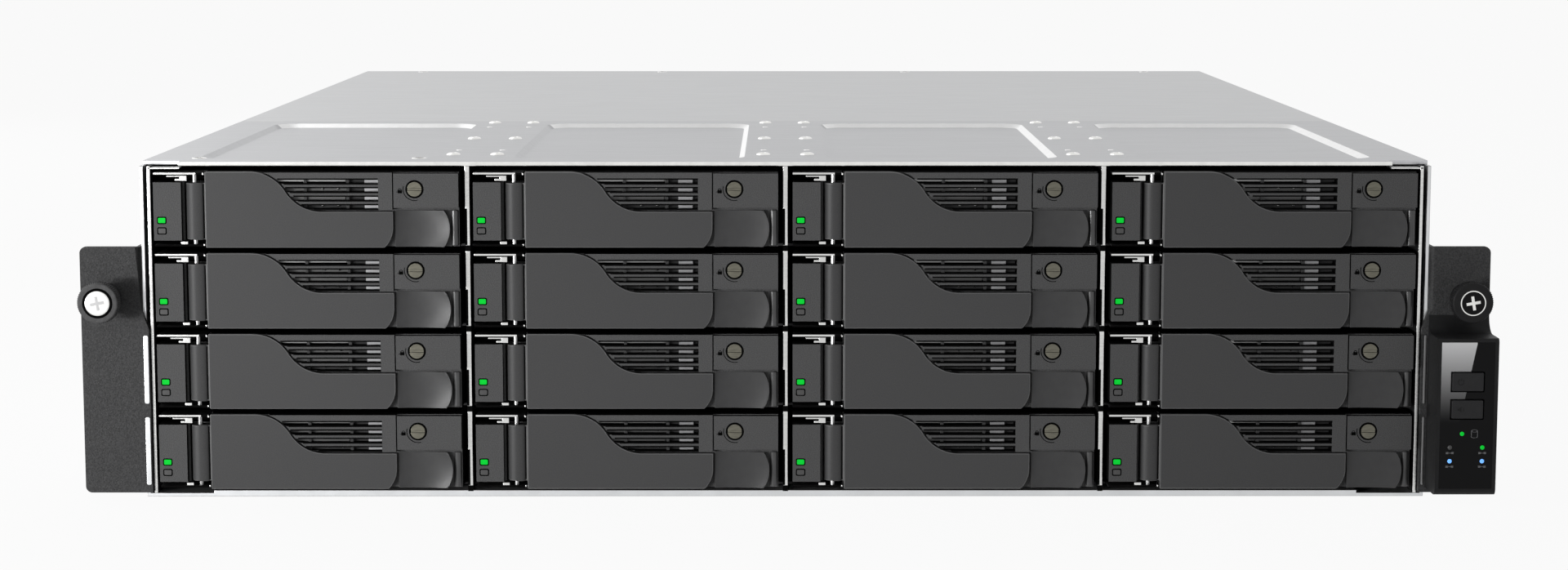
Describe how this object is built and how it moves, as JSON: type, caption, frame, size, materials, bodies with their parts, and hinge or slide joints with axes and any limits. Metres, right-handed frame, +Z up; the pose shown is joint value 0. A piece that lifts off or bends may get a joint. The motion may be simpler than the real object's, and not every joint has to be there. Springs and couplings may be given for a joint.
{
  "type": "rack storage server",
  "caption": "Rack-mount storage server: silver sheet-metal chassis with a grid of hot-swap drive trays, wave levers, black ears with thumbscrews and a control pod.",
  "frame": {"origin": "middle of the chassis's lower front edge, on the underside", "axes": "+X to the right seen from the front, +Y from the front to the rear, +Z up"},
  "size_m": [0.4826, 0.6225, 0.116],
  "materials": {
    "chassis": "satin zinc-plated sheet",
    "tray": "fine-grained moulded plastic with a steel carrier",
    "lever": "fine-grained moulded plastic",
    "latch": "satin moulded plastic",
    "lock": "moulded disc",
    "ear": "black powder coat",
    "pod": "black moulded plastic",
    "fascia": "glossy black",
    "button": "satin black",
    "lamp": "clear lens",
    "screw": "black knob, bright screw head",
    "circuit_board": "solder mask",
    "heat_sink": "extruded",
    "fan": "moulded",
    "supply": "plated case",
    "socket": "plated shell"
  },
  "bodies": {
    "root": {"chassis_base": "chassis", "front_top_plate": "chassis", "drive_cage": "chassis", "backplane": "circuit_board", "fan_frames": "fan", "mainboard": "circuit_board", "heat_sink": "heat_sink", "memory_modules": "circuit_board", "supply_bay": "chassis", "rear_panel": "chassis", "network_sockets": "socket", "left_ear": "ear", "right_ear": "ear", "control_pod": "pod", "control_fascia": "fascia", "status_lamps": "lamp"},
    "tray_1": {"tray_1": "tray"},
    "tray_1_lever": {"tray_1_lever": "lever"},
    "tray_2": {"tray_2": "tray"},
    "tray_2_lever": {"tray_2_lever": "lever"},
    "tray_3": {"tray_3": "tray"},
    "tray_3_lever": {"tray_3_lever": "lever"},
    "tray_4": {"tray_4": "tray"},
    "tray_4_lever": {"tray_4_lever": "lever"},
    "tray_5": {"tray_5": "tray"},
    "tray_5_lever": {"tray_5_lever": "lever"},
    "tray_6": {"tray_6": "tray"},
    "tray_6_lever": {"tray_6_lever": "lever"},
    "tray_7": {"tray_7": "tray"},
    "tray_7_lever": {"tray_7_lever": "lever"},
    "tray_8": {"tray_8": "tray"},
    "tray_8_lever": {"tray_8_lever": "lever"},
    "tray_9": {"tray_9": "tray"},
    "tray_9_lever": {"tray_9_lever": "lever"},
    "tray_10": {"tray_10": "tray"},
    "tray_10_lever": {"tray_10_lever": "lever"},
    "tray_11": {"tray_11": "tray"},
    "tray_11_lever": {"tray_11_lever": "lever"},
    "tray_12": {"tray_12": "tray"},
    "tray_12_lever": {"tray_12_lever": "lever"},
    "tray_13": {"tray_13": "tray"},
    "tray_13_lever": {"tray_13_lever": "lever"},
    "tray_14": {"tray_14": "tray"},
    "tray_14_lever": {"tray_14_lever": "lever"},
    "tray_15": {"tray_15": "tray"},
    "tray_15_lever": {"tray_15_lever": "lever"},
    "tray_16": {"tray_16": "tray"},
    "tray_16_lever": {"tray_16_lever": "lever"},
    "rear_cover": {"rear_cover": "chassis"},
    "fan_rotor_1": {"fan_rotor_1": "fan"},
    "fan_rotor_2": {"fan_rotor_2": "fan"},
    "fan_rotor_3": {"fan_rotor_3": "fan"},
    "power_supply_1": {"power_supply_1": "supply"},
    "power_supply_2": {"power_supply_2": "supply"},
    "power_button": {"power_button": "button"},
    "mute_button": {"mute_button": "button"},
    "left_thumbscrew": {"left_thumbscrew": "screw"},
    "right_thumbscrew": {"right_thumbscrew": "screw"},
    "tray_1_latch": {"tray_1_latch": "latch"},
    "tray_1_lock": {"tray_1_lock": "lock"}
  },
  "joints": [
    {"name": "tray_1_slide", "type": "slide", "parent": "root", "child": "tray_1", "axis": [0, -1, 0], "range_m": [0, 0.15]},
    {"name": "tray_1_lever_swing", "type": "hinge", "parent": "tray_1", "child": "tray_1_lever", "pos_m": [-0.20128, -0.00195, 0.09999], "axis": [0, 0, -1], "range_deg": [0, 75]},
    {"name": "tray_1_latch_slide", "type": "slide", "parent": "tray_1", "child": "tray_1_latch", "axis": [1, 0, 0], "range_m": [0, 0.0025], "stiffness_N_per_m": 600},
    {"name": "tray_1_lock_turn", "type": "hinge", "parent": "tray_1", "child": "tray_1_lock", "pos_m": [-0.12612, -0.005, 0.10704], "axis": [0, 1, 0], "range_deg": [0, 90]},
    {"name": "power_button_press", "type": "slide", "parent": "root", "child": "power_button", "axis": [0, 1, 0], "range_m": [0, 0.001], "stiffness_N_per_m": 1500},
    {"name": "mute_button_press", "type": "slide", "parent": "root", "child": "mute_button", "axis": [0, 1, 0], "range_m": [0, 0.001], "stiffness_N_per_m": 1500},
    {"name": "left_thumbscrew_turn", "type": "hinge", "parent": "root", "child": "left_thumbscrew", "pos_m": [-0.23255, -0.008, 0.0693], "axis": [0, 1, 0], "continuous": true},
    {"name": "right_thumbscrew_turn", "type": "hinge", "parent": "root", "child": "right_thumbscrew", "pos_m": [0.23255, -0.008, 0.0693], "axis": [0, 1, 0], "continuous": true},
    {"name": "fan_rotor_1_spin", "type": "hinge", "parent": "root", "child": "fan_rotor_1", "pos_m": [-0.122, 0.2, 0.0412], "axis": [0, 1, 0], "continuous": true},
    {"name": "fan_rotor_2_spin", "type": "hinge", "parent": "root", "child": "fan_rotor_2", "pos_m": [0, 0.2, 0.0412], "axis": [0, 1, 0], "continuous": true},
    {"name": "fan_rotor_3_spin", "type": "hinge", "parent": "root", "child": "fan_rotor_3", "pos_m": [0.122, 0.2, 0.0412], "axis": [0, 1, 0], "continuous": true},
    {"name": "rear_cover_slide", "type": "slide", "parent": "root", "child": "rear_cover", "axis": [0, 1, 0], "range_m": [0, 0.012]},
    {"name": "power_supply_1_slide", "type": "slide", "parent": "root", "child": "power_supply_1", "axis": [0, 1, 0], "range_m": [0, 0.16]},
    {"name": "power_supply_2_slide", "type": "slide", "parent": "root", "child": "power_supply_2", "axis": [0, 1, 0], "range_m": [0, 0.16]},
    {"name": "tray_2_slide", "type": "slide", "parent": "root", "child": "tray_2", "axis": [0, -1, 0], "range_m": [0, 0.15]},
    {"name": "tray_2_lever_swing", "type": "hinge", "parent": "tray_2", "child": "tray_2_lever", "pos_m": [-0.09252, -0.00195, 0.09999], "axis": [0, 0, -1], "range_deg": [0, 75]},
    {"name": "tray_3_slide", "type": "slide", "parent": "root", "child": "tray_3", "axis": [0, -1, 0], "range_m": [0, 0.15]},
    {"name": "tray_3_lever_swing", "type": "hinge", "parent": "tray_3", "child": "tray_3_lever", "pos_m": [0.01622, -0.00195, 0.09999], "axis": [0, 0, -1], "range_deg": [0, 75]},
    {"name": "tray_4_slide", "type": "slide", "parent": "root", "child": "tray_4", "axis": [0, -1, 0], "range_m": [0, 0.15]},
    {"name": "tray_4_lever_swing", "type": "hinge", "parent": "tray_4", "child": "tray_4_lever", "pos_m": [0.12498, -0.00195, 0.09999], "axis": [0, 0, -1], "range_deg": [0, 75]},
    {"name": "tray_5_slide", "type": "slide", "parent": "root", "child": "tray_5", "axis": [0, -1, 0], "range_m": [0, 0.15]},
    {"name": "tray_5_lever_swing", "type": "hinge", "parent": "tray_5", "child": "tray_5_lever", "pos_m": [-0.20128, -0.00195, 0.07216], "axis": [0, 0, -1], "range_deg": [0, 75]},
    {"name": "tray_6_slide", "type": "slide", "parent": "root", "child": "tray_6", "axis": [0, -1, 0], "range_m": [0, 0.15]},
    {"name": "tray_6_lever_swing", "type": "hinge", "parent": "tray_6", "child": "tray_6_lever", "pos_m": [-0.09252, -0.00195, 0.07216], "axis": [0, 0, -1], "range_deg": [0, 75]},
    {"name": "tray_7_slide", "type": "slide", "parent": "root", "child": "tray_7", "axis": [0, -1, 0], "range_m": [0, 0.15]},
    {"name": "tray_7_lever_swing", "type": "hinge", "parent": "tray_7", "child": "tray_7_lever", "pos_m": [0.01622, -0.00195, 0.07216], "axis": [0, 0, -1], "range_deg": [0, 75]},
    {"name": "tray_8_slide", "type": "slide", "parent": "root", "child": "tray_8", "axis": [0, -1, 0], "range_m": [0, 0.15]},
    {"name": "tray_8_lever_swing", "type": "hinge", "parent": "tray_8", "child": "tray_8_lever", "pos_m": [0.12498, -0.00195, 0.07216], "axis": [0, 0, -1], "range_deg": [0, 75]},
    {"name": "tray_9_slide", "type": "slide", "parent": "root", "child": "tray_9", "axis": [0, -1, 0], "range_m": [0, 0.15]},
    {"name": "tray_9_lever_swing", "type": "hinge", "parent": "tray_9", "child": "tray_9_lever", "pos_m": [-0.20128, -0.00195, 0.04433], "axis": [0, 0, -1], "range_deg": [0, 75]},
    {"name": "tray_10_slide", "type": "slide", "parent": "root", "child": "tray_10", "axis": [0, -1, 0], "range_m": [0, 0.15]},
    {"name": "tray_10_lever_swing", "type": "hinge", "parent": "tray_10", "child": "tray_10_lever", "pos_m": [-0.09252, -0.00195, 0.04433], "axis": [0, 0, -1], "range_deg": [0, 75]},
    {"name": "tray_11_slide", "type": "slide", "parent": "root", "child": "tray_11", "axis": [0, -1, 0], "range_m": [0, 0.15]},
    {"name": "tray_11_lever_swing", "type": "hinge", "parent": "tray_11", "child": "tray_11_lever", "pos_m": [0.01622, -0.00195, 0.04433], "axis": [0, 0, -1], "range_deg": [0, 75]},
    {"name": "tray_12_slide", "type": "slide", "parent": "root", "child": "tray_12", "axis": [0, -1, 0], "range_m": [0, 0.15]},
    {"name": "tray_12_lever_swing", "type": "hinge", "parent": "tray_12", "child": "tray_12_lever", "pos_m": [0.12498, -0.00195, 0.04433], "axis": [0, 0, -1], "range_deg": [0, 75]},
    {"name": "tray_13_slide", "type": "slide", "parent": "root", "child": "tray_13", "axis": [0, -1, 0], "range_m": [0, 0.15]},
    {"name": "tray_13_lever_swing", "type": "hinge", "parent": "tray_13", "child": "tray_13_lever", "pos_m": [-0.20128, -0.00195, 0.0165], "axis": [0, 0, -1], "range_deg": [0, 75]},
    {"name": "tray_14_slide", "type": "slide", "parent": "root", "child": "tray_14", "axis": [0, -1, 0], "range_m": [0, 0.15]},
    {"name": "tray_14_lever_swing", "type": "hinge", "parent": "tray_14", "child": "tray_14_lever", "pos_m": [-0.09252, -0.00195, 0.0165], "axis": [0, 0, -1], "range_deg": [0, 75]},
    {"name": "tray_15_slide", "type": "slide", "parent": "root", "child": "tray_15", "axis": [0, -1, 0], "range_m": [0, 0.15]},
    {"name": "tray_15_lever_swing", "type": "hinge", "parent": "tray_15", "child": "tray_15_lever", "pos_m": [0.01622, -0.00195, 0.0165], "axis": [0, 0, -1], "range_deg": [0, 75]},
    {"name": "tray_16_slide", "type": "slide", "parent": "root", "child": "tray_16", "axis": [0, -1, 0], "range_m": [0, 0.15]},
    {"name": "tray_16_lever_swing", "type": "hinge", "parent": "tray_16", "child": "tray_16_lever", "pos_m": [0.12498, -0.00195, 0.0165], "axis": [0, 0, -1], "range_deg": [0, 75]}
  ]
}
